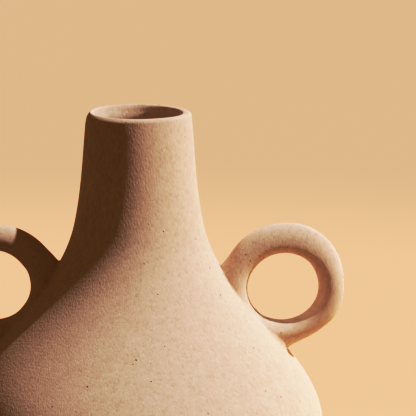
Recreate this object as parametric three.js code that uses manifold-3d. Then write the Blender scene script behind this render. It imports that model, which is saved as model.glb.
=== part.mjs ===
// Two-handled bulbous stoneware vase, in millimetres, +Z up, standing on its foot ring at z = 0.
//
// The vessel is built the way such a narrow-necked pot is put together from soft clay: a thrown
// bowl, a shoulder thrown as a second bowl and turned over on to it, and a neck collar on top.
// Each joint is scored and luted with slip. Two coils closed into rings are luted on as handles,
// and a coat of glaze inside makes the porous body hold water.
import * as THREE from "three";
import { mergeVertices } from "three/addons/utils/BufferGeometryUtils.js";
import Module from "manifold-3d";

// Vessel, from the foot up
const footRadius = 55; // outside of the foot ring
const footWidth = 8; // width of the ring that the vase stands on
const footHeight = 4; // from the ground to where the bowl springs from the ring
const footBevel = 1.2; // broken edge of the ring
const recessDepth = 2.5; // turned hollow inside the ring
const bowlSpring = 25; // degrees, how flat the bowl leaves the foot
const bowlSweep = 26; // how far that direction is held
const bellyRadius = 107; // widest outside radius
const bellyHeight = 77; // height of the widest place, where bowl and shoulder meet
const bellyFall = 43; // how long the wall stays upright below the widest place
const bellyRise = 39; // and above it
const shoulderLength = 119.3; // from the widest place up to the neck
const shoulderSweep = 49.7; // how far the line of the neck runs on into the shoulder
const neckRootRadius = 36.6;
const neckRootTaper = 0.21; // radius lost for each millimetre of height, at the root
const neckLength = 64;
const lipRadius = 29.4;
const lipTaper = 0.1; // the same at the lip
const lipRoundOutside = 2.4;
const lipRoundInside = 1.3;

// Walls
const footWall = 7;
const bellyWall = 6;
const neckRootWall = 5;
const lipWall = 4.6;
const floorBlend = 14; // length of the curve from the wall into the flat floor

// Luted seams of the vessel
const seamSlip = 0.8; // thickness of the slip in a seam
const seamKey = 2; // height of the pointed rim that keys into the groove of the one above

// Handles: each is a coil closed into an upright ring, sunk a little way into the shoulder
const handleRise = 68.4; // height of the ring's nearest place on the wall, above the widest place
const ringRadius = 27.7; // of the coil's centreline
const ringSink = 4.7; // how far the centreline dips below the wall
const coilRadius = 7.7; // half way up the ring
const coilGain = 1; // how much fatter the coil is over the crown, and thinner at the bottom
const coilSwell = 0.8; // how much it swells where it is pressed on to the wall

// Slip joint under each handle: a bedding layer and the bead pressed round it
const slipBed = 0.5;
const slipBead = 2; // how far the bead reaches along the wall and up the coil
const slipEdge = 0.4; // thickness of its feathered edge
const seat = 0.35; // clearance between pieces that bed on a curved face

// Glaze coat inside
const glazeCoat = 0.7;
const glazeLine = 34; // distance of its upper edge below the lip

// Fineness of the surfaces
const roundSteps = 48; // facets round the axis
const wallSteps = { bowl: 6, shoulder: 9, neck: 4 };
const floorSteps = 3;
const lipSteps = 3;
const coilSides = 14;
const ringSteps = 32;
const jointSteps = 42; // round a handle's joint
const bedRings = 3; // between the edge and the middle of a joint
const cutSteps = 96; // facets round the axis of the wall that the handles are cut by

const { lerp, degToRad } = THREE.MathUtils;
const wasm = await Module();
wasm.setup();

const materials = {
  clay: new THREE.MeshStandardMaterial({ color: 0xcfae8e, roughness: 0.92, metalness: 0 }),
  slip: new THREE.MeshStandardMaterial({ color: 0xc9a686, roughness: 0.95, metalness: 0 }),
  glaze: new THREE.MeshStandardMaterial({ color: 0xd8c6ad, roughness: 0.25, metalness: 0 }),
};

// Outline of the vessel in the (radius, height) plane

const neckRootHeight = bellyHeight + shoulderLength;
const lipHeight = neckRootHeight + neckLength;
const halfSeam = seamSlip / 2;

function bezier(...points) {
  return new THREE.CubicBezierCurve(...points.map(([r, z]) => new THREE.Vector2(r, z)));
}

const outside = {
  bowl: bezier(
    [footRadius, footHeight],
    [
      footRadius + bowlSweep * Math.cos(degToRad(bowlSpring)),
      footHeight + bowlSweep * Math.sin(degToRad(bowlSpring)),
    ],
    [bellyRadius, bellyHeight - halfSeam - bellyFall],
    [bellyRadius, bellyHeight - halfSeam],
  ),
  shoulder: bezier(
    [bellyRadius, bellyHeight + halfSeam],
    [bellyRadius, bellyHeight + halfSeam + bellyRise],
    [neckRootRadius + neckRootTaper * shoulderSweep, neckRootHeight - shoulderSweep],
    [neckRootRadius + neckRootTaper * halfSeam, neckRootHeight - halfSeam],
  ),
  neck: bezier(
    [neckRootRadius - neckRootTaper * halfSeam, neckRootHeight + halfSeam],
    [neckRootRadius - (neckRootTaper * neckLength) / 3, neckRootHeight + neckLength / 3],
    [lipRadius + (lipTaper * neckLength) / 3, lipHeight - neckLength / 3],
    [lipRadius + lipTaper * lipRoundOutside, lipHeight - lipRoundOutside],
  ),
};

// Both faces of a wall, as lists of points from its lower end to its upper end.
function wall(curve, steps, lowerThickness, upperThickness) {
  const faces = { outer: [], inner: [] };
  for (let i = 0; i <= steps; i++) {
    const along = curve.getTangent(i / steps);
    const normal = new THREE.Vector2(along.y, -along.x);
    const point = curve.getPoint(i / steps);
    faces.outer.push(point);
    faces.inner.push(
      point.clone().addScaledVector(normal, -lerp(lowerThickness, upperThickness, i / steps)),
    );
  }
  return faces;
}

const walls = {
  bowl: wall(outside.bowl, wallSteps.bowl, footWall, bellyWall),
  shoulder: wall(outside.shoulder, wallSteps.shoulder, bellyWall, neckRootWall),
  neck: wall(outside.neck, wallSteps.neck, neckRootWall, lipWall),
};

// Points across a wall from its outer to its inner face, over a ridge that runs half way between.
function rim(outer, inner, ridge) {
  const across = inner.clone().sub(outer);
  const up = new THREE.Vector2(across.y, -across.x).setLength(ridge);
  return [outer, outer.clone().lerp(inner, 0.5).add(up), inner];
}

const last = (list) => list[list.length - 1];
const rims = {
  bowl: rim(last(walls.bowl.outer), last(walls.bowl.inner), seamKey),
  shoulderFoot: rim(walls.shoulder.outer[0], walls.shoulder.inner[0], seamKey),
  shoulderTop: rim(last(walls.shoulder.outer), last(walls.shoulder.inner), seamKey),
  neck: rim(walls.neck.outer[0], walls.neck.inner[0], seamKey),
};

function arc(centre, radius, fromDegrees, toDegrees, steps) {
  const points = [];
  for (let i = 0; i <= steps; i++) {
    const angle = degToRad(lerp(fromDegrees, toDegrees, i / steps));
    points.push(
      new THREE.Vector2(centre.x + radius * Math.cos(angle), centre.y + radius * Math.sin(angle)),
    );
  }
  return points;
}

// A closed outline turned about the vertical axis.
function turned(outline, steps = roundSteps) {
  return new THREE.LatheGeometry([...outline, outline[0]], steps).rotateX(Math.PI / 2);
}

// The curve from the inner face of the bowl into the floor, which is flat from there to the axis
const floorDrop = (floorBlend / 2) * Math.tan(degToRad(bowlSpring));
const [floorStart] = walls.bowl.inner;
const floorLine = new THREE.QuadraticBezierCurve(
  floorStart,
  new THREE.Vector2(floorStart.x - floorBlend / 2, floorStart.y - floorDrop),
  new THREE.Vector2(floorStart.x - floorBlend, floorStart.y - floorDrop),
).getPoints(floorSteps);

function bowlGeometry() {
  const innerFoot = footRadius - footWidth;
  const floorCentre = new THREE.Vector2(0, last(floorLine).y);
  const foot = [
    new THREE.Vector2(0, recessDepth),
    new THREE.Vector2(innerFoot - recessDepth, recessDepth),
    new THREE.Vector2(innerFoot, 0),
    new THREE.Vector2(footRadius - footBevel, 0),
    new THREE.Vector2(footRadius, footBevel),
  ];
  return turned([
    ...foot,
    ...walls.bowl.outer.slice(0, -1),
    ...rims.bowl,
    ...walls.bowl.inner.slice(1, -1).reverse(),
    ...floorLine,
    floorCentre,
  ]);
}

function shoulderGeometry() {
  return turned([
    ...walls.shoulder.outer.slice(1, -1),
    ...rims.shoulderTop,
    ...walls.shoulder.inner.slice(1, -1).reverse(),
    ...[...rims.shoulderFoot].reverse(),
  ]);
}

function neckGeometry() {
  const outerEdge = new THREE.Vector2(
    last(walls.neck.outer).x - lipRoundOutside,
    lipHeight - lipRoundOutside,
  );
  const innerEdge = new THREE.Vector2(
    last(walls.neck.outer).x - lipWall + lipRoundInside,
    lipHeight - lipRoundInside,
  );
  return turned([
    ...walls.neck.outer.slice(1, -1),
    ...arc(outerEdge, lipRoundOutside, 0, 90, lipSteps),
    ...arc(innerEdge, lipRoundInside, 90, 180, lipSteps),
    ...walls.neck.inner.slice(1, -1).reverse(),
    ...[...rims.neck].reverse(),
  ]);
}

// The slip fills the seam between two keyed rims and is scraped flush with the wall.
function seamGeometry(lowerRim, upperRim) {
  return turned([...[...lowerRim].reverse(), ...upperRim]);
}

// A line moved sideways, to its left as it runs. A point on the axis stays on it.
function shifted(line, distance) {
  return line.map((point, i) => {
    const before = line[Math.max(i - 1, 0)];
    const after = line[Math.min(i + 1, line.length - 1)];
    const left = after.clone().sub(before).setLength(distance);
    return new THREE.Vector2(point.x === 0 ? 0 : point.x - left.y, point.y + left.x);
  });
}

// A coat on the inner faces, lying a seat clear of them.
function glazeGeometry() {
  const face = [
    new THREE.Vector2(0, last(floorLine).y),
    ...[...floorLine].reverse(),
    ...walls.bowl.inner.slice(1),
    ...walls.shoulder.inner,
    ...walls.neck.inner.filter((p) => p.y < lipHeight - glazeLine),
  ];
  return turned([...shifted(face, seat), ...shifted(face, seat + glazeCoat).reverse()]);
}

// The outer face as one line, which the handles are fitted to
const faceLine = [...walls.bowl.outer, ...walls.shoulder.outer, ...walls.neck.outer];

// Nearest place on a line in the (radius, height) plane to a point in space.
function nearestOn(line, point) {
  const flat = new THREE.Vector2(Math.hypot(point.x, point.y), point.z);
  let best = null;
  for (let i = 0; i + 1 < line.length; i++) {
    const span = line[i + 1].clone().sub(line[i]);
    const share = THREE.MathUtils.clamp(flat.clone().sub(line[i]).dot(span) / span.lengthSq(), 0, 1);
    const place = line[i].clone().addScaledVector(span, share);
    const distance = place.distanceTo(flat);
    if (!best || distance < best.distance) best = { place, distance };
  }
  return best.place;
}

// The point that lies the given lift above the outer face, nearest to a point in space.
function onFace(point, lift) {
  const place = nearestOn(shifted(faceLine, -lift), point);
  const azimuth = Math.atan2(point.y, point.x);
  return new THREE.Vector3(
    place.x * Math.cos(azimuth),
    place.x * Math.sin(azimuth),
    place.y,
  );
}

// The place on the wall at a height, in the plane of the handles, with the directions up along the
// wall and straight out of it.
function wallAt(height) {
  const above = faceLine.findIndex((p) => p.y >= height);
  const [a, b] = [faceLine[above - 1], faceLine[above]];
  const along = b.clone().sub(a).normalize();
  const place = a.clone().lerp(b, (height - a.y) / (b.y - a.y));
  return {
    place: new THREE.Vector3(place.x, 0, place.y),
    along: new THREE.Vector3(along.x, 0, along.y),
    normal: new THREE.Vector3(along.y, 0, -along.x),
  };
}

// The ring of the handle on the +X side: its nearest place on the wall, and its centre
const standOff = ringRadius - ringSink;
const footing = wallAt(bellyHeight + handleRise);
const ringCentre = footing.place.clone().addScaledVector(footing.normal, standOff);

// Radius of the coil in the direction of a point from the ring's centre.
function coilRadiusAt(point) {
  const direction = point.clone().sub(ringCentre).setY(0).normalize();
  const towardsWall = Math.max(-direction.dot(footing.normal), 0);
  return coilRadius + coilGain * direction.z + coilSwell * towardsWall ** 2;
}

// How far a point lies outside the coil's skin.
function outsideCoil(point) {
  const offset = point.clone().sub(ringCentre);
  const fromLine = Math.hypot(Math.hypot(offset.x, offset.z) - ringRadius, offset.y);
  return fromLine - coilRadiusAt(point);
}

// A closed ring of a coil whose radius is right for each direction.
function ringGeometry() {
  const ring = new THREE.TorusGeometry(ringRadius, 1, coilSides, ringSteps);
  ring.rotateX(Math.PI / 2).translate(...ringCentre);
  const place = ring.getAttribute("position");
  for (let i = 0; i < place.count; i++) {
    const point = new THREE.Vector3().fromBufferAttribute(place, i);
    const offset = point.clone().sub(ringCentre).setY(0);
    const centre = offset.setLength(ringRadius).add(ringCentre);
    point.sub(centre).setLength(coilRadiusAt(centre)).add(centre);
    place.setXYZ(i, ...point);
  }
  return ring;
}

function solidOf(geometry) {
  const bare = geometry.clone().deleteAttribute("normal").deleteAttribute("uv");
  const merged = mergeVertices(bare);
  const vertProperties = merged.getAttribute("position").array;
  const triVerts = new Uint32Array(merged.index.array);
  return new wasm.Manifold(new wasm.Mesh({ numProp: 3, vertProperties, triVerts }));
}

function geometryOf(solid) {
  const mesh = solid.getMesh();
  const geometry = new THREE.BufferGeometry();
  geometry.setAttribute("position", new THREE.BufferAttribute(mesh.vertProperties, 3));
  geometry.setIndex(new THREE.BufferAttribute(mesh.triVerts, 1));
  const faceted = geometry.toNonIndexed();
  faceted.computeVertexNormals();
  return faceted;
}

const bedLift = seat + slipBed + seat; // height of the cut face of a handle above the wall

function handleGeometry() {
  const face = shifted(faceLine, -bedLift);
  const ends = [new THREE.Vector2(0, last(face).y), new THREE.Vector2(0, face[0].y)];
  const grownVessel = turned([...face, ...ends], cutSteps);
  return geometryOf(solidOf(ringGeometry()).subtract(solidOf(grownVessel)));
}

// Points round the joint where the coil's skin, moved out by a clearance, meets the lifted wall.
function jointOutline(lift, clearance) {
  const halfLength = Math.sqrt((ringRadius + coilRadius) ** 2 - standOff ** 2);
  const points = [];
  for (let step = 0; step < jointSteps; step++) {
    const angle = (2 * Math.PI * step) / jointSteps;
    const ray = footing.along.clone().multiplyScalar(halfLength * Math.cos(angle));
    ray.y = coilRadius * Math.sin(angle);
    const at = (share) => onFace(footing.place.clone().addScaledVector(ray, share), lift);
    let [low, high] = [0, 2];
    for (let i = 0; i < 24; i++) {
      const middle = (low + high) / 2;
      if (outsideCoil(at(middle)) < clearance) low = middle;
      else high = middle;
    }
    points.push(at(low));
  }
  return points;
}

// The same points moved outwards along the wall, to another lift.
function spreadOut(outline, distance, lift) {
  return outline.map((point, i) => {
    const along = outline[(i + 1) % jointSteps].clone().sub(outline[(i + jointSteps - 1) % jointSteps]);
    const out = footing.normal.clone().cross(along).setLength(distance);
    return onFace(point.clone().add(out), lift);
  });
}

// Rings from the middle of the joint out to an outline at the same lift.
function bed(outline, lift) {
  const rings = [];
  for (let i = 1; i <= bedRings; i++) {
    const share = i / (bedRings + 1);
    rings.push(outline.map((p) => onFace(footing.place.clone().lerp(p, share), lift)));
  }
  return [...rings, outline];
}

// The slip under a handle. Its section runs from the bed under the coil, up the side of the coil,
// down the hollow face of the bead to its feathered edge, and back along the wall.
function slipGeometry() {
  const bandHeight = standOff - ringRadius + coilRadiusAt(footing.place); // over the joint's middle
  const beadTop = bedLift + Math.min(slipBead, (bandHeight - bedLift) / 2);
  const bedTop = seat + slipBed;
  const corner = jointOutline(bedTop, seat);
  const crest = jointOutline(beadTop, seat);
  const edgeTop = spreadOut(corner, slipBead, seat + slipEdge);
  const edgeFoot = spreadOut(corner, slipBead, seat);
  const elbow = spreadOut(corner, slipEdge, bedTop + slipEdge);
  const hollow = elbow.map((point, i) =>
    new THREE.QuadraticBezierCurve3(crest[i], point, edgeTop[i]).getPoint(0.5),
  );
  return skin(
    onFace(footing.place, bedTop),
    [...bed(corner, bedTop), crest, hollow, edgeTop, ...bed(edgeFoot, seat).reverse()],
    onFace(footing.place, seat),
  );
}

// Volume inside a closed skin, negative where its faces point inwards.
function volumeInside(points, index) {
  let volume = 0;
  for (let i = 0; i < index.length; i += 3) {
    const [a, b, c] = [points[index[i]], points[index[i + 1]], points[index[i + 2]]];
    volume += a.dot(b.clone().cross(c)) / 6;
  }
  return volume;
}

// A closed skin over rings of points, each end filled to a centre point. The rings may run either
// way round.
function skin(startCentre, rings, endCentre) {
  const sides = rings[0].length;
  const points = [startCentre, ...rings.flat(), endCentre];
  const index = [];
  const at = (ring, side) => 1 + ring * sides + (side % sides);
  for (let side = 0; side < sides; side++) {
    index.push(0, at(0, side + 1), at(0, side));
    for (let ring = 0; ring + 1 < rings.length; ring++) {
      index.push(at(ring, side), at(ring, side + 1), at(ring + 1, side));
      index.push(at(ring, side + 1), at(ring + 1, side + 1), at(ring + 1, side));
    }
    index.push(points.length - 1, at(rings.length - 1, side), at(rings.length - 1, side + 1));
  }
  if (volumeInside(points, index) < 0) index.reverse();
  const geometry = new THREE.BufferGeometry().setFromPoints(points).setIndex(index);
  geometry.computeVertexNormals();
  return geometry;
}

function piece(name, geometry, material, parent) {
  const mesh = new THREE.Mesh(geometry, material);
  mesh.name = name;
  parent.add(mesh);
}

const vase = new THREE.Group();
vase.name = "two_handled_vase";

const vessel = new THREE.Group();
piece("bowl", bowlGeometry(), materials.clay, vessel);
piece("belly_seam_slip", seamGeometry(rims.bowl, rims.shoulderFoot), materials.slip, vessel);
piece("shoulder", shoulderGeometry(), materials.clay, vessel);
piece("neck_seam_slip", seamGeometry(rims.shoulderTop, rims.neck), materials.slip, vessel);
piece("neck", neckGeometry(), materials.clay, vessel);
piece("inner_glaze", glazeGeometry(), materials.glaze, vessel);
vase.add(vessel);

for (const [side, turn] of [
  ["right", 0],
  ["left", Math.PI],
]) {
  const handle = new THREE.Group();
  handle.rotation.z = turn;
  piece(`${side}_handle`, handleGeometry(), materials.clay, handle);
  piece(`${side}_handle_slip`, slipGeometry(), materials.slip, handle);
  vase.add(handle);
}

export default vase;
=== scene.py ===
import math

import bmesh
import bpy
from mathutils import Matrix, Vector


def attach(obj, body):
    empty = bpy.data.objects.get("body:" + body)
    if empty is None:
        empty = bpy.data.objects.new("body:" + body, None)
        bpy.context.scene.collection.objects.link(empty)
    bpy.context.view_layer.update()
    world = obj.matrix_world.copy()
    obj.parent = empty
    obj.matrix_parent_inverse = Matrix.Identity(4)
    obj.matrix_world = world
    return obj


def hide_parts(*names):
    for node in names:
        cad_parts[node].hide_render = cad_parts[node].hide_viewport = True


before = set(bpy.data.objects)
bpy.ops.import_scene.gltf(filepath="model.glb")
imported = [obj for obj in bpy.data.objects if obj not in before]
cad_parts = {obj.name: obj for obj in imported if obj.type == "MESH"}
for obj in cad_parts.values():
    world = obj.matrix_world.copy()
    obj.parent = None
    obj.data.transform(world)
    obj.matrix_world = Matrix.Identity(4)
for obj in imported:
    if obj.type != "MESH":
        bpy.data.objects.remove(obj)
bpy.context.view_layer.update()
print("frame loaded:", len(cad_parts), "nodes")


# Working helpers

def deselectAll():
    active = bpy.context.view_layer.objects.active
    if active and active.mode != "OBJECT":
        bpy.ops.object.mode_set(mode="OBJECT")
    bpy.ops.object.select_all(action="DESELECT")


def pick(piece):
    deselectAll()
    piece.select_set(True)
    bpy.context.view_layer.objects.active = piece


def applyModifiers(piece):
    pick(piece)
    for modifier in list(piece.modifiers):
        bpy.ops.object.modifier_apply(modifier=modifier.name)


def shadeSmooth(piece, degrees):
    pick(piece)
    bpy.ops.object.shade_smooth_by_angle(angle=math.radians(degrees))


def drawOutline(name, outline, closed):  # (radius, height) points as a line in the X-Z plane
    deselectAll()
    bpy.ops.curve.primitive_nurbs_path_add()
    line = bpy.context.object
    line.data.splines.clear()
    spline = line.data.splines.new("POLY")
    spline.points.add(len(outline) - 1)
    for point, place in zip(spline.points, outline):
        point.co = (place.x, 0, place.y, 1)
    spline.use_cyclic_u = closed
    bpy.ops.object.convert(target="MESH")
    piece = bpy.context.object
    piece.name = name
    piece.location = (0, 0, 0)
    return piece


def spinRound(piece, steps):
    pick(piece)
    bpy.ops.object.mode_set(mode="EDIT")
    bpy.ops.mesh.select_all(action="SELECT")
    bpy.ops.mesh.spin(steps=steps, angle=math.tau, center=(0, 0, 0), axis=(0, 0, 1))
    bpy.ops.mesh.select_all(action="SELECT")
    bpy.ops.mesh.remove_doubles(threshold=1e-6)
    bpy.ops.mesh.normals_make_consistent(inside=False)
    bpy.ops.object.mode_set(mode="OBJECT")


def turned(name, outline, closed, steps, smoothAngle):
    piece = drawOutline(name, outline, closed)
    spinRound(piece, steps)
    shadeSmooth(piece, smoothAngle)
    return piece


# Outline of the vessel in the (radius, height) plane, in metres

vesselShape = {
    "footRadius": 0.055,
    "footWidth": 0.008,
    "footHeight": 0.004,
    "footRound": 0.0012,
    "recessDepth": 0.0025,
    "bowlSpring": 25,  # degrees above level
    "bowlSweep": 0.026,
    "bellyRadius": 0.107,
    "bellyHeight": 0.077,
    "bellyFall": 0.043,
    "bellyRise": 0.039,
    "shoulderLength": 0.1193,
    "shoulderSweep": 0.0497,
    "neckRootRadius": 0.0366,
    "neckRootTaper": 0.21,
    "neckLength": 0.064,
    "lipRadius": 0.0294,
    "lipTaper": 0.1,
    "lipRoundOutside": 0.0024,
    "lipSlope": 0.0045,  # how far the inside of the lip is rounded over
    "lipSlopeAcross": 0.85,  # how full that rounding is at the crown
    "lipSlopeDown": 0.75,  # and at its foot
    "lipGap": 0.0004,  # between that foot and the next point down
    "footWall": 0.007,
    "bellyWall": 0.006,
    "neckRootWall": 0.005,
    "lipWall": 0.0046,
    "floorBlend": 0.014,
    "seamSlip": 0.0008,
    "seamKey": 0.002,
    "roundSteps": 240,
    "bowlSteps": 60,
    "shoulderSteps": 90,
    "neckSteps": 45,
    "arcSteps": 10,
    "smoothAngle": 40,
}


def curvePoint(controls, share):
    a, b, c, d = controls
    rest = 1 - share
    return a * rest**3 + b * (3 * rest**2 * share) + c * (3 * rest * share**2) + d * share**3


def curveDirection(controls, share):
    a, b, c, d = controls
    rest = 1 - share
    return ((b - a) * rest**2 + (c - b) * (2 * rest * share) + (d - c) * share**2).normalized()


def leftOf(direction):
    return Vector((-direction.y, direction.x))


def wallFaces(controls, steps, lowerWall, upperWall):  # outer and inner face, going up
    steps, lowerWall, upperWall = (vesselShape[name] for name in (steps, lowerWall, upperWall))
    outer, inner = [], []
    for step in range(steps + 1):
        share = step / steps
        point = curvePoint(controls, share)
        inward = leftOf(curveDirection(controls, share))
        outer.append(point)
        inner.append(point + inward * (lowerWall + (upperWall - lowerWall) * share))
    return outer, inner


def pointArc(centre, radius, fromDegrees, toDegrees, steps):
    points = []
    for step in range(steps + 1):
        angle = math.radians(fromDegrees + (toDegrees - fromDegrees) * step / steps)
        points.append(centre + Vector((math.cos(angle), math.sin(angle))) * radius)
    return points


def bentLine(start, bend, end, steps):
    points = []
    for step in range(steps + 1):
        share = step / steps
        points.append(start.lerp(bend, share).lerp(bend.lerp(end, share), share))
    return points


def softCorner(before, corner, after, reach, steps):  # a corner worn round
    start = corner + (before - corner).normalized() * reach
    end = corner + (after - corner).normalized() * reach
    return bentLine(start, corner, end, steps)


def rimRidge(faces, end):  # across a rim, over the ridge that keys it to its neighbour
    outer, inner = faces[0][end], faces[1][end]
    across = inner - outer
    up = Vector((across.y, -across.x)).normalized() * vesselShape["seamKey"]
    return [outer, outer.lerp(inner, 0.5) + up, inner]


def vesselCurves():
    s = vesselShape
    halfSeam = s["seamSlip"] / 2
    rootHeight = s["bellyHeight"] + s["shoulderLength"]
    lipHeight = rootHeight + s["neckLength"]
    spring = math.radians(s["bowlSpring"])
    bowl = [
        Vector((s["footRadius"], s["footHeight"])),
        Vector((
            s["footRadius"] + s["bowlSweep"] * math.cos(spring),
            s["footHeight"] + s["bowlSweep"] * math.sin(spring),
        )),
        Vector((s["bellyRadius"], s["bellyHeight"] - halfSeam - s["bellyFall"])),
        Vector((s["bellyRadius"], s["bellyHeight"] - halfSeam)),
    ]
    shoulder = [
        Vector((s["bellyRadius"], s["bellyHeight"] + halfSeam)),
        Vector((s["bellyRadius"], s["bellyHeight"] + halfSeam + s["bellyRise"])),
        Vector((
            s["neckRootRadius"] + s["neckRootTaper"] * s["shoulderSweep"],
            rootHeight - s["shoulderSweep"],
        )),
        Vector((s["neckRootRadius"] + s["neckRootTaper"] * halfSeam, rootHeight - halfSeam)),
    ]
    third = s["neckLength"] / 3
    neck = [
        Vector((s["neckRootRadius"] - s["neckRootTaper"] * halfSeam, rootHeight + halfSeam)),
        Vector((s["neckRootRadius"] - s["neckRootTaper"] * third, rootHeight + third)),
        Vector((s["lipRadius"] + s["lipTaper"] * third, lipHeight - third)),
        Vector((
            s["lipRadius"] + s["lipTaper"] * s["lipRoundOutside"],
            lipHeight - s["lipRoundOutside"],
        )),
    ]
    return bowl, shoulder, neck, lipHeight


bowlCurve, shoulderCurve, neckCurve, lipHeight = vesselCurves()
bowlFaces = wallFaces(bowlCurve, "bowlSteps", "footWall", "bellyWall")
shoulderFaces = wallFaces(shoulderCurve, "shoulderSteps", "bellyWall", "neckRootWall")
neckFaces = wallFaces(neckCurve, "neckSteps", "neckRootWall", "lipWall")
rims = {
    "bowl": rimRidge(bowlFaces, -1),
    "shoulderFoot": rimRidge(shoulderFaces, 0),
    "shoulderTop": rimRidge(shoulderFaces, -1),
    "neck": rimRidge(neckFaces, 0),
}
print("outline worked out")


# Shader helpers

def addNode(tree, kind, settings=None, inputs=None):
    made = tree.nodes.new(kind)
    for key, value in (settings or {}).items():
        setattr(made, key, value)
    for key, value in (inputs or {}).items():
        if isinstance(value, bpy.types.NodeSocket):
            tree.links.new(value, made.inputs[key])
        else:
            made.inputs[key].default_value = value
    return made


def mathNode(tree, operation, first, second=0.0):
    made = addNode(tree, "ShaderNodeMath", {"operation": operation}, {0: first, 1: second})
    return made.outputs[0]


def timesNode(tree, first, second):
    return mathNode(tree, "MULTIPLY", first, second)


def rangeNode(tree, value, fromMin, fromMax, toMin=0.0, toMax=1.0, smooth=False):
    kind = "SMOOTHSTEP" if smooth else "LINEAR"
    inputs = {
        "Value": value,
        "From Min": fromMin,
        "From Max": fromMax,
        "To Min": toMin,
        "To Max": toMax,
    }
    return addNode(tree, "ShaderNodeMapRange", {"interpolation_type": kind}, inputs).outputs[0]


def mixColour(tree, share, first, second):
    mixed = addNode(tree, "ShaderNodeMix", {"data_type": "RGBA"}, {0: share, 6: first, 7: second})
    return mixed.outputs[2]


def cellNode(tree, place, scale, feature="F1"):
    inputs = {"Vector": place, "Scale": scale}
    return addNode(tree, "ShaderNodeTexVoronoi", {"feature": feature}, inputs).outputs


def cellChance(tree, cells, channel):  # a random number for each cell
    return addNode(tree, "ShaderNodeSeparateColor", None, {0: cells["Color"]}).outputs[channel]


def noiseNode(tree, place, scale, detail, roughness=0.55):
    inputs = {"Vector": place, "Scale": scale, "Detail": detail, "Roughness": roughness}
    return addNode(tree, "ShaderNodeTexNoise", None, inputs).outputs[0]


def newGroup(name, inputs, outputs):
    group = bpy.data.node_groups.new(name, "ShaderNodeTree")
    for label, kind, value in inputs:
        socket = group.interface.new_socket(label, in_out="INPUT", socket_type="NodeSocket" + kind)
        if value is not None:
            socket.default_value = value
    for label, kind in outputs:
        group.interface.new_socket(label, in_out="OUTPUT", socket_type="NodeSocket" + kind)
    return group, group.nodes.new("NodeGroupInput").outputs, group.nodes.new("NodeGroupOutput")


def useGroup(tree, name, inputs):
    return addNode(tree, "ShaderNodeGroup", {"node_tree": effects[name]}, inputs).outputs


def bumpNode(tree, shader, height):
    inputs = {"Height": height, "Distance": 1.0, "Strength": 1.0}
    bump = addNode(tree, "ShaderNodeBump", None, inputs)
    tree.links.new(bump.outputs[0], shader.inputs["Normal"])


# Effects that the finishes share

grainShape = {
    "sandScale": 0.55,  # against the fine grain's scale
    "sandFrom": 0.1,
    "sandTo": 0.75,
    "sandShare": 0.35,
    "fineShare": 0.65,
}


def sandGrainGroup():  # grains of sand that stand a little proud of the clay
    tree, given, result = newGroup(
        "sandGrain",
        [("Place", "Vector", None), ("Grain Size", "Float", 0.0008), ("Stretch", "Float", 2.2)],
        [("Height", "Float"), ("Speckle", "Float")],
    )
    g = grainShape
    lower = mathNode(tree, "DIVIDE", 1.0, given["Stretch"])
    squeeze = addNode(tree, "ShaderNodeCombineXYZ", None, {0: 1.0, 1: 1.0, 2: lower}).outputs[0]
    place = addNode(
        tree, "ShaderNodeVectorMath", {"operation": "MULTIPLY"}, {0: given["Place"], 1: squeeze}
    ).outputs[0]
    fineScale = mathNode(tree, "DIVIDE", 1.0, given["Grain Size"])
    sandScale = mathNode(tree, "DIVIDE", g["sandScale"], given["Grain Size"])
    fine = noiseNode(tree, place, fineScale, 2.0, 0.5)
    sand = cellNode(tree, place, sandScale)
    bump = rangeNode(tree, sand["Distance"], g["sandFrom"], g["sandTo"], 1.0, 0.0, smooth=True)
    fine, bump = timesNode(tree, fine, g["fineShare"]), timesNode(tree, bump, g["sandShare"])
    tree.links.new(mathNode(tree, "ADD", fine, bump), result.inputs["Height"])
    tree.links.new(cellChance(tree, sand, 0), result.inputs["Speckle"])
    return tree


poreShape = {
    "skipped": 0.2,  # share of the cells with the smallest pore
    "smallest": 0.3,  # against the hole size
    "largest": 1.2,
    "bottom": 0.45,  # how much of a pore is its flat bottom
}


def pinHoleGroup():  # small open pores; the mask both dents the clay and paints shade into each pore
    tree, given, result = newGroup(
        "pinHoles",
        [("Place", "Vector", None), ("Spacing", "Float", 0.009), ("Hole Size", "Float", 0.0006)],
        [("Mask", "Float")],
    )
    p = poreShape
    scale = mathNode(tree, "DIVIDE", 1.0, given["Spacing"])
    cells = cellNode(tree, given["Place"], scale)
    chance = cellChance(tree, cells, 1)
    size = rangeNode(tree, chance, p["skipped"], 1.0, p["smallest"], p["largest"])
    reach = timesNode(tree, timesNode(tree, given["Hole Size"], scale), size)
    bottom = timesNode(tree, reach, p["bottom"])
    mask = rangeNode(tree, cells["Distance"], bottom, reach, 1.0, 0.0, smooth=True)
    tree.links.new(mask, result.inputs["Mask"])
    return tree


toneShape = {
    "driftScale": 22.0,
    "driftFrom": 0.35,
    "driftTo": 0.65,
    "cloudScale": 120.0,
    "cloudFrom": 0.35,
    "cloudTo": 0.7,
    "cloudShare": 0.35,
    "paleAbove": 0.7,  # which grains are pale
    "paleShare": 0.45,
    "darkBelow": 0.3,  # and which are dark
    "darkShare": 0.22,
}


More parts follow.
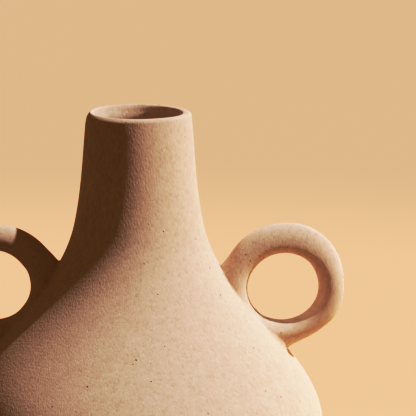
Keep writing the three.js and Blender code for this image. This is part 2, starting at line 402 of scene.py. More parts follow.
def clayToneGroup():  # how the fired colour drifts over the pot and from grain to grain
    tree, given, result = newGroup(
        "clayTone",
        [
            ("Place", "Vector", None),
            ("Speckle", "Float", 0.5),
            ("Body", "Color", (0.7, 0.5, 0.4, 1)),
            ("Pink", "Color", (0.7, 0.5, 0.4, 1)),
            ("Pale", "Color", (0.8, 0.6, 0.5, 1)),
            ("Dark", "Color", (0.3, 0.2, 0.1, 1)),
        ],
        [("Color", "Color")],
    )
    t = toneShape
    drift = noiseNode(tree, given["Place"], t["driftScale"], 2.0)
    drift = rangeNode(tree, drift, t["driftFrom"], t["driftTo"], smooth=True)
    cloud = noiseNode(tree, given["Place"], t["cloudScale"], 4.0, 0.65)
    cloud = rangeNode(tree, cloud, t["cloudFrom"], t["cloudTo"])
    body = mixColour(tree, drift, given["Body"], given["Pink"])
    body = mixColour(tree, timesNode(tree, cloud, t["cloudShare"]), body, given["Pale"])
    paleGrain = rangeNode(tree, given["Speckle"], t["paleAbove"], 1.0, 0.0, t["paleShare"])
    darkGrain = rangeNode(tree, given["Speckle"], t["darkBelow"], 0.0, 0.0, t["darkShare"])
    body = mixColour(tree, paleGrain, body, given["Pale"])
    body = mixColour(tree, darkGrain, body, given["Dark"])
    tree.links.new(body, result.inputs["Color"])
    return tree


fingerShape = {"wanderScale": 18.0, "wander": 0.012}


def fingerRingGroup():  # level rings left by the fingers on the wheel
    tree, given, result = newGroup(
        "fingerRings",
        [("Place", "Vector", None), ("Pitch", "Float", 0.006)],
        [("Height", "Float")],
    )
    height = addNode(tree, "ShaderNodeSeparateXYZ", None, {0: given["Place"]}).outputs[2]
    wander = noiseNode(tree, given["Place"], fingerShape["wanderScale"], 2.0)
    level = mathNode(tree, "ADD", height, timesNode(tree, wander, fingerShape["wander"]))
    turn = timesNode(tree, mathNode(tree, "DIVIDE", level, given["Pitch"]), math.tau)
    wave = rangeNode(tree, mathNode(tree, "SINE", turn), -1.0, 1.0)
    tree.links.new(wave, result.inputs["Height"])
    return tree


effects = {
    "sandGrain": sandGrainGroup(),
    "pinHoles": pinHoleGroup(),
    "clayTone": clayToneGroup(),
    "fingerRings": fingerRingGroup(),
}


# Finishes

clayLook = {
    "body": (0.625, 0.463, 0.347, 1),
    "pink": (0.636, 0.464, 0.351, 1),
    "pale": (0.731, 0.587, 0.463, 1),
    "dark": (0.306, 0.196, 0.128, 1),
    # painted shade inside the pinholes: how dark a pore is drawn, and how strongly
    "poreShade": (0.17, 0.102, 0.064, 1),
    "grainSize": 0.00065,
    "grainHeight": 0.00013,
    "stretch": 1.9,
    "poreSpacing": 0.0065,
    "poreSize": 0.0006,
    "poreShadeShare": 0.8,
    "hollowRoughness": 0.97,
    "grainRoughness": 0.86,
    "specular": 0.17,
    "diffuseRoughness": 0.6,
}


def newMaterial(name):
    material = bpy.data.materials.new(name)
    material.use_nodes = True
    tree = material.node_tree
    shader = tree.nodes["Principled BSDF"]
    place = tree.nodes.new("ShaderNodeTexCoord").outputs["Object"]
    return material, tree, shader, place


def clayFinish(name, grainShare=1.0, ringHeight=0.0):
    look = clayLook
    material, tree, shader, place = newMaterial(name)
    grain = useGroup(
        tree,
        "sandGrain",
        {"Place": place, "Grain Size": look["grainSize"], "Stretch": look["stretch"]},
    )
    pores = useGroup(
        tree,
        "pinHoles",
        {"Place": place, "Spacing": look["poreSpacing"], "Hole Size": look["poreSize"]},
    )["Mask"]
    tones = {tone.capitalize(): look[tone] for tone in ("body", "pink", "pale", "dark")}
    tone = useGroup(
        tree, "clayTone", {"Place": place, "Speckle": grain["Speckle"], **tones}
    )["Color"]
    # painted shade: each pinhole is painted dark, on top of the dent the bump gives it
    colour = mixColour(tree, timesNode(tree, pores, look["poreShadeShare"]), tone, look["poreShade"])
    tree.links.new(colour, shader.inputs["Base Color"])
    roughness = rangeNode(
        tree, grain["Height"], 0.2, 0.8, look["hollowRoughness"], look["grainRoughness"]
    )
    tree.links.new(roughness, shader.inputs["Roughness"])
    height = timesNode(tree, grain["Height"], look["grainHeight"] * grainShare)
    height = mathNode(tree, "SUBTRACT", height, timesNode(tree, pores, look["poreSize"]))
    if ringHeight:
        rings = useGroup(tree, "fingerRings", {"Place": place})["Height"]
        height = mathNode(tree, "ADD", height, timesNode(tree, rings, ringHeight))
    bumpNode(tree, shader, height)
    shader.inputs["Specular IOR Level"].default_value = look["specular"]
    shader.inputs["Diffuse Roughness"].default_value = look["diffuseRoughness"]
    return material


glazeLook = {
    "body": (0.60, 0.46, 0.33, 1),
    "thin": (0.50, 0.34, 0.22, 1),
    "crack": (0.28, 0.19, 0.12, 1),
    "cloudScale": 60.0,
    "crackScale": 95.0,
    "crackWidth": 0.02,
    "crackShare": 0.5,
    "roughness": 0.22,
    "thinRoughness": 0.34,
    "waveScale": 220.0,
    "waveHeight": 0.00012,
}


def glazeFinish():
    look = glazeLook
    material, tree, shader, place = newMaterial("linerGlaze")
    cloud = rangeNode(tree, noiseNode(tree, place, look["cloudScale"], 3.0), 0.3, 0.7)
    edge = cellNode(tree, place, look["crackScale"], "DISTANCE_TO_EDGE")["Distance"]
    crack = rangeNode(tree, edge, 0.0, look["crackWidth"], look["crackShare"], 0.0)
    body = mixColour(tree, cloud, look["body"], look["thin"])
    tree.links.new(mixColour(tree, crack, body, look["crack"]), shader.inputs["Base Color"])
    roughness = rangeNode(tree, cloud, 0.0, 1.0, look["roughness"], look["thinRoughness"])
    tree.links.new(roughness, shader.inputs["Roughness"])
    rings = useGroup(tree, "fingerRings", {"Place": place})["Height"]
    wave = mathNode(tree, "ADD", noiseNode(tree, place, look["waveScale"], 2.0), rings)
    bumpNode(tree, shader, timesNode(tree, wave, look["waveHeight"]))
    return material


clayOutside = clayFinish("sandyClay")
clayInside = clayFinish("sandyClayInside", ringHeight=0.0002)
slipFinish = clayFinish("firedSlip", grainShare=0.8)
linerGlaze = glazeFinish()
print("finishes made")


# Pieces of the vessel

def finishPiece(piece, materials, node):
    piece.data.materials.clear()
    for material in materials:
        piece.data.materials.append(material)
    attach(piece, "root")
    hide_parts(node)
    print("made", piece.name)


def riseTo(top, reach, height):  # 0 at this reach below the top, 1 at the top
    return (height - top + reach) / reach


def turnOf(place):
    return math.atan2(place.y, place.x)


def radiusAt(line, height):
    for lower, upper in zip(line, line[1:]):
        if lower.y <= height <= upper.y:
            return lower.x + (upper.x - lower.x) * (height - lower.y) / (upper.y - lower.y)
    return line[-1].x


def markInside(piece):  # faces that look at the axis get the second finish
    for face in piece.data.polygons:
        outwards = Vector((face.center.x, face.center.y, 0)).normalized()
        if face.normal.dot(outwards) < -0.5:
            face.material_index = 1


def makeBowl():
    s = vesselShape
    outer, inner = bowlFaces
    innerFoot = s["footRadius"] - s["footWidth"]
    corners = [  # along the base and up the foot
        Vector((0, s["recessDepth"])),
        Vector((innerFoot - s["recessDepth"], s["recessDepth"])),
        Vector((innerFoot, 0)),
        Vector((s["footRadius"], 0)),
        outer[0],
        outer[1],
    ]
    outline = [corners[0]]
    for before, corner, after in zip(corners, corners[1:], corners[2:]):
        outline += softCorner(before, corner, after, s["footRound"], s["arcSteps"])
    outline += [point for point in outer[1:-1] if (point - outer[0]).length > s["footRound"]]
    drop = s["floorBlend"] / 2 * math.tan(math.radians(s["bowlSpring"]))
    bend = inner[0] + Vector((-s["floorBlend"] / 2, -drop))
    floorEdge = inner[0] + Vector((-s["floorBlend"], -drop))
    floorCurve = bentLine(inner[0], bend, floorEdge, s["arcSteps"])
    outline += [*rims["bowl"], *reversed(inner[2:-1:3]), *floorCurve, Vector((0, floorEdge.y))]
    piece = turned("bowlClay", outline, False, s["roundSteps"], s["smoothAngle"])
    finishPiece(piece, [clayOutside], "bowl")
    return floorCurve


def makeShoulder():
    s = vesselShape
    outer, inner = shoulderFaces
    outline = [
        *outer[1:-1],
        *rims["shoulderTop"],
        *reversed(inner[3:-1:3]),
        *reversed(rims["shoulderFoot"]),
    ]
    piece = turned("shoulderClay", outline, True, s["roundSteps"], s["smoothAngle"])
    finishPiece(piece, [clayOutside], "shoulder")


lipWobble = {
    "reach": 0.012,
    "drop": 0.00035,
    "waves": ((2, 0.6, 1.0), (3, 2.1, 0.6), (5, 4.0, 0.3)),  # how many, their turn and their size
    "wornReach": 0.0075,
    "worn": 0.0009,  # softer on the left
    "wornDown": 0.0014,
    "thicker": 0.0019,  # on the right
    "flareReach": 0.007,
    "flare": 0.0012,  # the inside opens a little at the back
    "flareTurn": 100,
}


def dipLip(place):  # it dips a little, as a rim finished by hand does
    share = riseTo(lipHeight, lipWobble["reach"], place.z)
    if share > 0:
        dip, total = 0, 0
        for count, phase, size in lipWobble["waves"]:
            dip += size * (1 + math.sin(count * turnOf(place) + phase)) / 2
            total += size
        place.z -= lipWobble["drop"] * dip / total * min(share, 1) ** 2


def wearLip(place, across, fromCrown):  # outside the crown, on the left
    share = riseTo(lipHeight, lipWobble["wornReach"], place.z)
    if share > 0 and fromCrown > 0:
        share = min(share, 1) ** 2 * max(-place.x / across, 0)
        share *= min(fromCrown / vesselShape["lipRoundOutside"], 1)
        inwards = 1 - lipWobble["worn"] * share / across
        down = lipWobble["wornDown"] * share
        place.xyz = place.x * inwards, place.y * inwards, place.z - down


def flareLip(place, across, toSlope):  # inside the crown
    share = riseTo(lipHeight, lipWobble["flareReach"], place.z)
    if share > 0 and toSlope > 0:
        angle = turnOf(place)
        flareAngle = angle - math.radians(lipWobble["flareTurn"])
        opening = lipWobble["flare"] * max(math.cos(flareAngle), 0)
        opening -= lipWobble["thicker"] * max(math.cos(angle), 0)
        opened = 1 + opening * min(share, 1) ** 2 * min(toSlope, 1) / across
        place.xyz = place.x * opened, place.y * opened, place.z


def makeNeck():
    s = vesselShape
    outer, inner = neckFaces
    top = outer[-1]
    outerRound = Vector((top.x - s["lipRoundOutside"], lipHeight - s["lipRoundOutside"]))
    slopeFoot = lipHeight - s["lipSlope"]
    slopeStart = Vector((radiusAt(inner, slopeFoot), slopeFoot))
    crown = Vector((outerRound.x, lipHeight))
    slope = [
        crown,
        crown + Vector((-(crown.x - slopeStart.x) * s["lipSlopeAcross"], 0)),
        slopeStart + Vector((0, s["lipSlope"] * s["lipSlopeDown"])),
        slopeStart,
    ]
    outline = [
        *outer[1:-1],
        *pointArc(outerRound, s["lipRoundOutside"], 0, 90, s["arcSteps"]),
        *[curvePoint(slope, step / s["arcSteps"]) for step in range(1, s["arcSteps"] + 1)],
        *[point for point in reversed(inner[1:-1]) if point.y < slopeFoot - s["lipGap"]],
        *reversed(rims["neck"]),
    ]
    piece = turned("neckClay", outline, True, s["roundSteps"], s["smoothAngle"])
    for vertex in piece.data.vertices:
        dipLip(vertex.co)
        across = math.hypot(vertex.co.x, vertex.co.y)
        fromCrown = across - outerRound.x
        wearLip(vertex.co, across, fromCrown)
        flareLip(vertex.co, across, -fromCrown / (outerRound.x - slopeStart.x))
    finishPiece(piece, [clayOutside, clayInside], "neck")
    markInside(piece)


def makeSeam(name, lowerRim, upperRim, node):
    s = vesselShape
    outline = [*reversed(lowerRim), *upperRim]
    piece = turned(name, outline, True, s["roundSteps"], s["smoothAngle"])
    finishPiece(piece, [slipFinish], node)


glazeShape = {
    "bed": 0.00002,
    "coat": 0.00075,
    "lineBelowLip": 0.034,
    "edgeLength": 0.003,
    "thinnest": 0.02,
    "waveReach": 0.02,
    "waves": ((2, 1.0, 0.0016), (5, 0.4, 0.0011), (9, 2.2, 0.0007)),
    "smoothAngle": 60,
}


def makeGlaze(floorCurve):
    g = glazeShape
    line = lipHeight - g["lineBelowLip"]
    face = [Vector((0, floorCurve[-1].y)), *reversed(floorCurve)]
    face += bowlFaces[1][2::2] + shoulderFaces[1][::3]
    face += [point for point in neckFaces[1] if point.y < line]
    bed, coat = [], []
    for index, point in enumerate(face):
        before = face[max(index - 1, 0)]
        after = face[min(index + 1, len(face) - 1)]
        inward = leftOf((after - before).normalized())
        if point.x == 0:
            inward = Vector((0, 1))
        fromEdge = min((line - point.y) / g["edgeLength"], 1)
        thickness = g["coat"] * math.sqrt(max(fromEdge, g["thinnest"]))
        bed.append(point + inward * g["bed"])
        coat.append(point + inward * (g["bed"] + thickness))
    outline = [*bed, *reversed(coat)]
    piece = turned("innerGlaze", outline, False, vesselShape["roundSteps"], g["smoothAngle"])
    for vertex in piece.data.vertices:  # the poured line wanders up and down the neck
        place = vertex.co
        share = riseTo(line, g["waveReach"], place.z)
        if share > 0:
            shift = 0
            for count, phase, size in g["waves"]:
                shift += size * math.sin(count * turnOf(place) + phase)
            height = place.z + shift * min(share, 1)
            across = math.hypot(place.x, place.y)
            moved = across + radiusAt(neckFaces[1], height) - radiusAt(neckFaces[1], place.z)
            place.xyz = place.x / across * moved, place.y / across * moved, height
    finishPiece(piece, [linerGlaze], "inner_glaze")


floorCurve = makeBowl()
makeShoulder()
makeNeck()
makeSeam("bellySeamSlip", rims["bowl"], rims["shoulderFoot"], "belly_seam_slip")
makeSeam("neckSeamSlip", rims["shoulderTop"], rims["neck"], "neck_seam_slip")
makeGlaze(floorCurve)


# Ring handles, each worked out on the +X side

ringShape = {
    "centre": (0.08263, 0, 0.16012),
    "radius": 27.7,  # millimetres, as are the next three and the coils below
    "halfWidth": 8.0,
    "rootWidth": 0.8,  # wider by this where it is pressed on to the wall
    "crownWidth": 1.0,  # and narrower by this at the top
    "ringSteps": 192,
    "coilSides": 64,
    "jointFrom": 0.11,  # heights between which it may meet the wall
    "jointTo": 0.2,
    "slipBed": 0.0005,
    "seatFrom": 0.08,  # heights between which the blank that cuts its seat runs
    "seatTo": 0.22,
    "smoothAngle": 40,
}

# A hand-rolled coil, at degrees round the ring: how thick it is towards the hole and outwards,
# and how far its widest line lies in
coilShapes = {
    "right": {
        "towardsHole": (
            (-145, 6.3), (-133, 6.1), (-119, 5.8), (-107, 6.1), (-77, 6.3), (-42, 6.4),
            (-23, 6.6), (-3, 7.1), (19, 7.7), (40, 7.9), (61, 8.5), (84, 9.1), (108, 9.3),
            (129, 9.2), (148, 8.8), (165, 8.1), (178, 7.5), (199, 6.7),
        ),
        "outwards": (
            (-150, 12), (-100, 12), (-88, 10.8), (-85, 10), (-80, 8.4), (-70, 7.1), (-59, 6.8),
            (-46, 7.0), (-31, 8.0), (-16, 8.0), (-1, 7.5), (14, 7.7), (29, 8.2), (45, 8.7),
            (60, 8.9), (75, 8.7), (89, 8.2), (105, 7.8), (130, 7.7), (144, 7.5), (154, 7.9),
            (163, 9.5), (172, 12),
        ),
        "ridge": ((-60, 0), (10, 0), (40, 1.6), (70, 3.1), (125, 3.1), (150, 1.4), (185, 0)),
    },
    "left": {
        "towardsHole": (
            (-154, 6.8), (-140, 6.9), (-128, 6.7), (-100, 6.8), (-60, 7.0), (-20, 7.3),
            (20, 7.6), (60, 7.7), (85, 7.6), (102, 7.5), (129, 7.6), (143, 7.6), (157, 7.1),
            (170, 7.0), (184, 6.8),
        ),
        "outwards": (
            (-150, 13), (-100, 12), (-88, 9.5), (-75, 8), (-60, 7.6), (-30, 7.6), (0, 7.5),
            (30, 7.9), (60, 7.8), (80, 7.3), (97, 7.1), (104, 7.6), (129, 8.4), (137, 8.7),
            (146, 9.2), (155, 10.6), (160, 11.8), (164, 13.2), (172, 14.8),
        ),
        "ridge": ((-60, 0), (185, 0)),
    },
}

# The slip smeared over each joint, at degrees from its top: how many millimetres it reaches
# along the wall and climbs up the coil
smearShapes = {
    "right": {
        "front": -1,  # which side faces the camera; the other is smeared less
        "reach": (
            (0, 0.8), (50, 0.8), (72, 1.4), (90, 2.6), (115, 5.0), (140, 6.4), (160, 2.8),
            (180, 0.8),
        ),
        "climb": (
            (0, 1.0), (50, 1.0), (80, 1.0), (98, 1.1), (110, 1.6), (124, 2.8), (148, 4.8),
            (180, 2.2),
        ),
    },
    "left": {
        "front": 1,
        "reach": ((0, 2.2), (50, 2.0), (90, 1.8), (120, 3.0), (150, 4.5), (180, 3.2)),
        "climb": ((0, 2.0), (50, 1.4), (90, 1.0), (120, 1.4), (150, 3.4), (180, 3.0)),
    },
}
slipShape = {
    "sides": 168,
    "rows": 12,
    "bedRings": 3,
    "proud": 0.00002,  # off the clay under it
    "tuck": 0.0003,  # how far its upper edge goes into the coil
    "farThinner": 0.75,
    "farFade": 1.6,  # how soon the far side is that thin
    "leastDrop": 0.4,  # how far the smear bends down, against the way to the wall
    "mostDrop": 1.6,
    "smoothAngle": 60,
}


def smoothBetween(stops, place):  # an even curve through the stops, in millimetres, as metres
    last = len(stops) - 1
    place = min(max(place, stops[0][0]), stops[last][0])
    index = next(i for i in range(last) if place <= stops[i + 1][0])
    slopes = []
    for i in (index, index + 1):
        before, after = stops[max(i - 1, 0)], stops[min(i + 1, last)]
        slopes.append((after[1] - before[1]) / (after[0] - before[0]))
    span = stops[index + 1][0] - stops[index][0]
    share = (place - stops[index][0]) / span
    rest = 1 - share
    value = (
        stops[index][1] * rest**2 * (1 + 2 * share)
        + stops[index + 1][1] * share**2 * (1 + 2 * rest)
        + slopes[0] * span * share * rest**2
        - slopes[1] * span * share**2 * rest
    )
    return value / 1000


def allRound(stops):  # the same stops a turn lower and higher
    return tuple((degrees + turn, size) for turn in (-360, 0, 360) for degrees, size in stops)


outerLine = bowlFaces[0] + shoulderFaces[0] + neckFaces[0]
jointLine = [
    point for point in outerLine if ringShape["jointFrom"] < point.y < ringShape["jointTo"]
]
jointNormals = []
for index, point in enumerate(jointLine):
    before, after = jointLine[max(index - 1, 0)], jointLine[min(index + 1, len(jointLine) - 1)]
    normal = -leftOf((after - before).normalized())
    jointNormals.append((normal.x, normal.y))
jointSpans = [
    (start.x, start.y, end.x - start.x, end.y - start.y, (end - start).length_squared)
    for start, end in zip(jointLine, jointLine[1:])
]


def nearWall(point):  # the nearest place on the outer face, its normal, and how far off it is
    flatX, flatY = math.hypot(point.x, point.y), point.z
    best = (1e9, 0, 0)
    for index, (startX, startY, spanX, spanY, square) in enumerate(jointSpans):
        share = ((flatX - startX) * spanX + (flatY - startY) * spanY) / square
        share = 0 if share < 0 else 1 if share > 1 else share
        gap = (flatX - startX - spanX * share) ** 2 + (flatY - startY - spanY * share) ** 2
        if gap < best[0]:
            best = (gap, index, share)
    _, index, share = best
    startX, startY, spanX, spanY, _ = jointSpans[index]
    lowNormal, highNormal = jointNormals[index], jointNormals[index + 1]
    normalX, normalY = (low + (high - low) * share for low, high in zip(lowNormal, highNormal))
    placeX, placeY = startX + spanX * share, startY + spanY * share
    height = (flatX - placeX) * normalX + (flatY - placeY) * normalY
    turn = turnOf(point)
    place = Vector((placeX * math.cos(turn), placeX * math.sin(turn), placeY))
    normal = Vector((normalX * math.cos(turn), normalX * math.sin(turn), normalY))
    return place, normal, height


def onWall(point, lift):
    place, normal, _ = nearWall(point)
    return place + normal * lift


ringRadius = ringShape["radius"] / 1000
ringCentre = Vector(ringShape["centre"])
footing, outOfWall, _ = nearWall(ringCentre)
upTheWall = Vector((-outOfWall.z, 0, outOfWall.x))
wallTurn = math.degrees(math.atan2(-outOfWall.z, -outOfWall.x))
coils = {
    side: {line: allRound(stops) for line, stops in lines.items()}
    for side, lines in coilShapes.items()
}


def coilHalfWidth(degrees):
    towardsWall = max(math.cos(math.radians(degrees - wallTurn)), 0)
    atCrown = max(math.cos(math.radians(degrees - 90)), 0)
    width = ringShape["halfWidth"] + ringShape["rootWidth"] * towardsWall
    return (width - ringShape["crownWidth"] * atCrown) / 1000


def coilThickness(coil, degrees, inset, isOutside):  # from its widest line to its skin
    if isOutside:
        return smoothBetween(coil["outwards"], degrees) + inset
    return smoothBetween(coil["towardsHole"], degrees) - inset


def coilSkin(coil, ringTurn, coilTurn):  # a place on the skin, both turns in radians
    degrees = math.degrees(ringTurn)
    inset = smoothBetween(coil["ridge"], degrees)
    thick = coilThickness(coil, degrees, inset, math.cos(coilTurn) > 0)
    across = ringRadius - inset + thick * math.cos(coilTurn)
    return ringCentre + Vector((
        across * math.cos(ringTurn),
        coilHalfWidth(degrees) * math.sin(coilTurn),
        across * math.sin(ringTurn),
    ))


def outsideCoil(coil, point):  # below zero inside it
    offset = point - ringCentre
    degrees = math.degrees(math.atan2(offset.z, offset.x))
    inset = smoothBetween(coil["ridge"], degrees)
    gap = math.hypot(offset.x, offset.z) - ringRadius + inset
    thick = coilThickness(coil, degrees, inset, gap > 0)
    return math.hypot(gap / thick, offset.y / coilHalfWidth(degrees)) - 1


def coilNormal(coil, point):
    slope = []
    for axis in ((1, 0, 0), (0, 1, 0), (0, 0, 1)):
        step = Vector(axis) * 2e-5
        slope.append(outsideCoil(coil, point + step) - outsideCoil(coil, point - step))
    return Vector(slope).normalized()


def makeRing(name, coil):
    deselectAll()
    bpy.ops.mesh.primitive_torus_add(
        location=ringCentre,
        rotation=(math.pi / 2, 0, 0),
        major_radius=ringRadius,
        minor_radius=ringShape["halfWidth"] / 1000,
        major_segments=ringShape["ringSteps"],
        minor_segments=ringShape["coilSides"],
    )
    ring = bpy.context.object
    ring.name = name
    bpy.ops.object.transform_apply(location=True, rotation=True, scale=True)
    for vertex in ring.data.vertices:
        offset = vertex.co - ringCentre
        gap = math.hypot(offset.x, offset.z) - ringRadius
        vertex.co = coilSkin(coil, math.atan2(offset.z, offset.x), math.atan2(offset.y, gap))
    return ring


def cutToWall(ring):  # the ring's seat follows the wall, above the bedding slip
    line = [
        point - leftOf((after - before).normalized()) * ringShape["slipBed"]
        for before, point, after in zip(outerLine, outerLine[1:], outerLine[2:])
        if ringShape["seatFrom"] < point.y < ringShape["seatTo"]
    ]
    line = [Vector((0, line[0].y)), *line, Vector((0, line[-1].y))]
    blank = drawOutline("wallBlank", line, False)
    spinRound(blank, vesselShape["roundSteps"])
    cut = ring.modifiers.new("seat", "BOOLEAN")
    cut.operation = "DIFFERENCE"
    cut.object = blank
    cut.solver = "EXACT"
    applyModifiers(ring)
    bpy.data.objects.remove(blank)
    shadeSmooth(ring, ringShape["smoothAngle"])


jointSearch = {"from": 1.9, "to": 0.1, "step": 0.05, "halvings": 12}  # in ring radii, going in


def jointOutline(coil, lifts):  # where the coil's skin meets the lifted wall, side by side
    def isOutside(ray, reach, lift):
        return outsideCoil(coil, onWall(footing + ray * reach, lift)) > 0

    points = []
    for side, lift in enumerate(lifts):
        angle = math.tau * side / len(lifts)
        ray = upTheWall * (ringRadius * math.cos(angle))
        ray.y = ringShape["halfWidth"] / 1000 * math.sin(angle)
        low = jointSearch["from"]
        while low > jointSearch["to"] and isOutside(ray, low, lift):
            low -= jointSearch["step"]
        high = low + jointSearch["step"]
        for _ in range(jointSearch["halvings"]):
            middle = (low + high) / 2
            if isOutside(ray, middle, lift):
                high = middle
            else:
                low = middle
        points.append(onWall(footing + ray * low, lift))
    return points


def spreadOut(outline, reaches):  # along the wall, away from the joint
    moved = []
    for side, point in enumerate(outline):
        along = outline[(side + 1) % len(outline)] - outline[side - 1]
        _, normal, _ = nearWall(point)
        out = along.cross(normal).normalized()
        if out.dot(point - footing) < 0:
            out.negate()
        moved.append(onWall(point + out * reaches[side], slipShape["proud"]))
    return moved


def placeRing(piece, ring):
    shape = bmesh.from_edit_mesh(piece.data)
    sideLayer = shape.verts.layers.int["side"]
    for vertex in shape.verts:
        if vertex.select:
            vertex.co = ring[vertex[sideLayer]]
    bmesh.update_edit_mesh(piece.data)


def loftRings(name, rings):  # a circle extruded on from ring to ring, with both ends closed
    deselectAll()
    bpy.ops.mesh.primitive_circle_add(vertices=len(rings[0]), radius=0.01, fill_type="NOTHING")
    piece = bpy.context.object
    piece.name = name
    piece.location = (0, 0, 0)
    bpy.ops.object.mode_set(mode="EDIT")
    shape = bmesh.from_edit_mesh(piece.data)
    sideLayer = shape.verts.layers.int.new("side")
    shape.verts.ensure_lookup_table()
    for side, vertex in enumerate(shape.verts):
        vertex[sideLayer] = side
    bmesh.update_edit_mesh(piece.data)
    bpy.ops.mesh.select_all(action="SELECT")
    placeRing(piece, rings[0])
    for ring in rings[1:]:
        bpy.ops.mesh.extrude_region()
        placeRing(piece, ring)
    bpy.ops.mesh.merge(type="CENTER")
    bpy.ops.mesh.select_all(action="DESELECT")
    shape = bmesh.from_edit_mesh(piece.data)
    for edge in shape.edges:
        edge.select_set(edge.is_boundary)
    bmesh.update_edit_mesh(piece.data)
    bpy.ops.mesh.edge_face_add()
    bpy.ops.mesh.select_all(action="SELECT")
    bpy.ops.mesh.normals_make_consistent(inside=False)
    bpy.ops.object.mode_set(mode="OBJECT")
    piece.data.attributes.remove(piece.data.attributes["side"])
    return piece


def makeSlip(name, coil, smear):
    s = slipShape
    turns = [360 * side / s["sides"] for side in range(s["sides"])]
    farSide = [max(-smear["front"] * math.sin(math.radians(turn)), 0) for turn in turns]
    shares = [1 - s["farThinner"] * min(s["farFade"] * far, 1) for far in farSide]
    turns = [min(turn, 360 - turn) for turn in turns]
    climbs = [smoothBetween(smear["climb"], turn) * share for turn, share in zip(turns, shares)]
    reaches = [smoothBetween(smear["reach"], turn) * share for turn, share in zip(turns, shares)]
    corner = jointOutline(coil, [0] * s["sides"])
    crest = jointOutline(coil, climbs)
    foot = spreadOut(corner, reaches)
    bends, tucked, seat = [], [], []
    for side, point in enumerate(crest):
        normal = coilNormal(coil, point)
        down = corner[side] - point
        down -= normal * down.dot(normal)
        _, _, height = nearWall(point + down)
        drop = climbs[side] / max(climbs[side] - height, 1e-5)
        drop = min(max(drop, s["leastDrop"]), s["mostDrop"])
        bends.append(onWall(point + down * drop, s["proud"]))
        crest[side] = point + normal * s["proud"]
        tucked.append(point - normal * s["tuck"])
        insideCorner = corner[side] - coilNormal(coil, corner[side]) * s["tuck"]
        seat.append(onWall(insideCorner, ringShape["slipBed"]))
    rows = []
    for row in range(s["rows"] + 1):
        share = row / s["rows"]
        ring = []
        for side in range(s["sides"]):
            start = foot[side].lerp(bends[side], share)
            point = start.lerp(bends[side].lerp(crest[side], share), share)
            _, _, height = nearWall(point)
            ring.append(onWall(point, max(height, s["proud"])))
        rows.append(ring)
    bedTop, bedFoot = [], []
    for ring in range(1, s["bedRings"] + 1):
        share = ring / (s["bedRings"] + 1)
        bedTop.append([onWall(footing.lerp(point, share), ringShape["slipBed"]) for point in seat])
        bedFoot.append([onWall(footing.lerp(point, share), s["proud"]) for point in foot])
    return loftRings(name, [*bedFoot, *rows, tucked, seat, *reversed(bedTop)])


def turnRound(piece):  # to the other side of the vase
    pick(piece)
    bpy.ops.object.mode_set(mode="EDIT")
    bpy.ops.mesh.select_all(action="SELECT")
    bpy.ops.transform.rotate(value=math.pi, orient_axis="Z", center_override=(0, 0, 0))
    bpy.ops.object.mode_set(mode="OBJECT")


for side, coil in coils.items():
    ring = makeRing(side + "Handle", coil)
    cutToWall(ring)
    slip = makeSlip(side + "HandleSlip", coil, smearShapes[side])
    shadeSmooth(slip, slipShape["smoothAngle"])
    if side == "left":
        turnRound(ring)
        turnRound(slip)
    finishPiece(ring, [clayOutside], side + "_handle")
    finishPiece(slip, [slipFinish], side + "_handle_slip")


# Studio

studio = {
    "floorRadius": 4.0,
    "floorRings": (0, 0.5, 2),
    "curveRadius": 2.0,
    "curveSteps": 24,
    "wallHeight": 2.0,
    "steps": 96,
    "smoothAngle": 60,
    "floorColour": (0.7565, 0.41, 0.2346, 1),
    # painted shade: the floor goes from its colour to this darker one between these distances from
    # the vase, standing in for light falling off
    "floorPaintedShade": (0.5245, 0.3307, 0.2057, 1),
    "paintedShadeFrom": 0.68,
    "paintedShadeTo": 1.25,
    "airColour": (1.0, 0.543, 0.22, 1),
    "airStrength": 0.168,
}


def floorFinish():
    s = studio
    material, tree, shader, place = newMaterial("studioFloor")
    away = addNode(tree, "ShaderNodeVectorMath", {"operation": "LENGTH"}, {0: place})
    # painted shade: darker further from the vase
    share = rangeNode(tree, away.outputs["Value"], s["paintedShadeFrom"], s["paintedShadeTo"], smooth=True)
    colour = mixColour(tree, share, s["floorColour"], s["floorPaintedShade"])
    tree.links.new(colour, shader.inputs["Base Color"])
    shader.inputs["Roughness"].default_value = 0.95
    shader.inputs["Specular IOR Level"].default_value = 0.1
    return material


def makeFloor():
    s = studio
    bend = Vector((s["floorRadius"], s["curveRadius"]))
    outline = [
        *[Vector((radius, 0)) for radius in s["floorRings"]],
        *pointArc(bend, s["curveRadius"], -90, 0, s["curveSteps"]),
        Vector((s["floorRadius"] + s["curveRadius"], s["curveRadius"] + s["wallHeight"])),
    ]
    floor = turned("studioFloor", outline, False, s["steps"], s["smoothAngle"])
    floor.data.flip_normals()
    floor.data.materials.append(floorFinish())
    floor.visible_diffuse = False


suns = {
    "keyLight": {
        "turn": 82.5,  # degrees to the right of the camera
        "height": 48,  # degrees above level
        "strength": 5.02,
        "softness": 1.2,
        "colour": (1, 0.973, 1),
    },
    "sideLight": {  # for the left handle, over the lip
        "turn": 81,
        "height": 57,
        "strength": 3.95,
        "softness": 1.2,
        "colour": (1, 0.973, 1),
    },
    "skyLight": {  # for the right handle, from straight above
        "turn": 0,
        "height": 90,
        "strength": 1.0,
        "softness": 70,
        "colour": (0.92, 0.97, 1),
    },
}


def makeSun(name):
    s = suns[name]
    deselectAll()
    bpy.ops.object.light_add(type="SUN", location=(0, 0, 1))
    lamp = bpy.context.object
    lamp.name = name
    lamp.data.energy = s["strength"]
    lamp.data.angle = math.radians(s["softness"])
    lamp.data.color = s["colour"]
    turn, height = math.radians(s["turn"]), math.radians(s["height"])
    towards = Vector((
        math.sin(turn) * math.cos(height),
        -math.cos(turn) * math.cos(height),
        math.sin(height),
    ))
    lamp.rotation_euler = towards.to_track_quat("Z", "Y").to_euler()
    lamp.location = towards * 2
    return lamp


cardShape = {  # throws light up on to the vase from the right
    "place": (0.36, 0.02, 0.01),
    "aim": (0.09, 0, 0.15),
    "size": 0.4,
    "power": 2.0,
    "colour": (1, 0.69, 0.38),
}


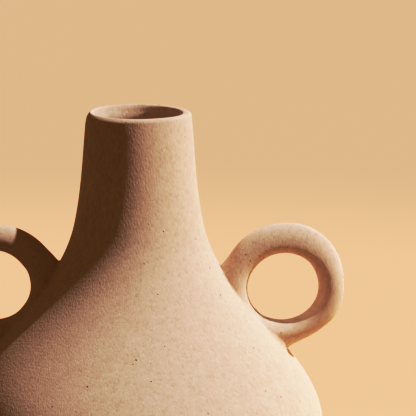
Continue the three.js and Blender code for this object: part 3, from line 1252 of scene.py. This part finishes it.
def makeCard():
    c = cardShape
    deselectAll()
    bpy.ops.object.light_add(type="AREA", location=c["place"])
    card = bpy.context.object
    card.name = "bounceCard"
    card.data.size = c["size"]
    card.data.energy = c["power"]
    card.data.color = c["colour"]
    fromAim = card.location - Vector(c["aim"])
    card.rotation_euler = fromAim.to_track_quat("Z", "Y").to_euler()
    card.visible_camera = False
    card.visible_glossy = False
    return card


def shareLight(lamp, names, state):  # a lamp that lights only these pieces, or all but these
    group = bpy.data.collections.new(lamp.name + "Pieces")
    for name in names:
        group.objects.link(bpy.data.objects[name])
    for member in group.collection_objects:
        member.light_linking.link_state = state
    lamp.light_linking.receiver_collection = group


def makeLight():
    leftPieces = ["leftHandle", "leftHandleSlip"]
    rightPieces = ["rightHandle", "rightHandleSlip"]
    shareLight(makeSun("keyLight"), leftPieces, "EXCLUDE")
    shareLight(makeSun("sideLight"), leftPieces, "INCLUDE")
    shareLight(makeSun("skyLight"), rightPieces, "INCLUDE")
    shareLight(makeCard(), ["studioFloor"], "EXCLUDE")
    world = bpy.data.worlds.new("studioAir")
    world.use_nodes = True
    air = world.node_tree.nodes["Background"]
    air.inputs["Color"].default_value = studio["airColour"]
    air.inputs["Strength"].default_value = studio["airStrength"]
    bpy.context.scene.world = world


cameraShape = {
    "place": (0, -0.9994, 0.4201),
    "pitch": 12.15,  # degrees down
    "yaw": 2.25,  # degrees to the right
    "roll": 0.47,
    "lens": 155.77,
    "sensor": 36,
    "near": 0.05,
    "far": 50,
}


def makeCamera():
    s = cameraShape
    deselectAll()
    bpy.ops.object.camera_add(location=s["place"])
    camera = bpy.context.object
    camera.name = "studioCamera"
    camera.data.sensor_width = s["sensor"]
    camera.data.lens = s["lens"]
    camera.data.clip_start = s["near"]
    camera.data.clip_end = s["far"]
    turn = (
        Matrix.Rotation(-math.radians(s["yaw"]), 3, "Z")
        @ Matrix.Rotation(math.radians(90 - s["pitch"]), 3, "X")
        @ Matrix.Rotation(math.radians(s["roll"]), 3, "Z")
    )
    camera.rotation_euler = turn.to_euler()
    bpy.context.scene.camera = camera


filmStops = (  # how the film turns light into tone
    (0, 0), (0.03, 0.0178), (0.07, 0.0436), (0.13, 0.09), (0.22, 0.1985), (0.35, 0.404),
    (0.55, 0.608), (0.85, 0.802), (1.3, 0.932), (2, 1),
)


def setFilm():
    view = bpy.context.scene.view_settings
    view.view_transform = "Standard"
    view.use_curve_mapping = True
    mapping = view.curve_mapping
    most = filmStops[-1][0]
    mapping.white_level = (most, most, most)
    line = mapping.curves[3]  # the one for all three colours
    line.points[0].location = (0, filmStops[0][1])
    line.points[1].location = (1, filmStops[-1][1])
    for light, tone in filmStops[1:-1]:
        line.points.new(light / most, tone)
    mapping.update()


makeFloor()
makeLight()
makeCamera()
setFilm()
print("studio set")
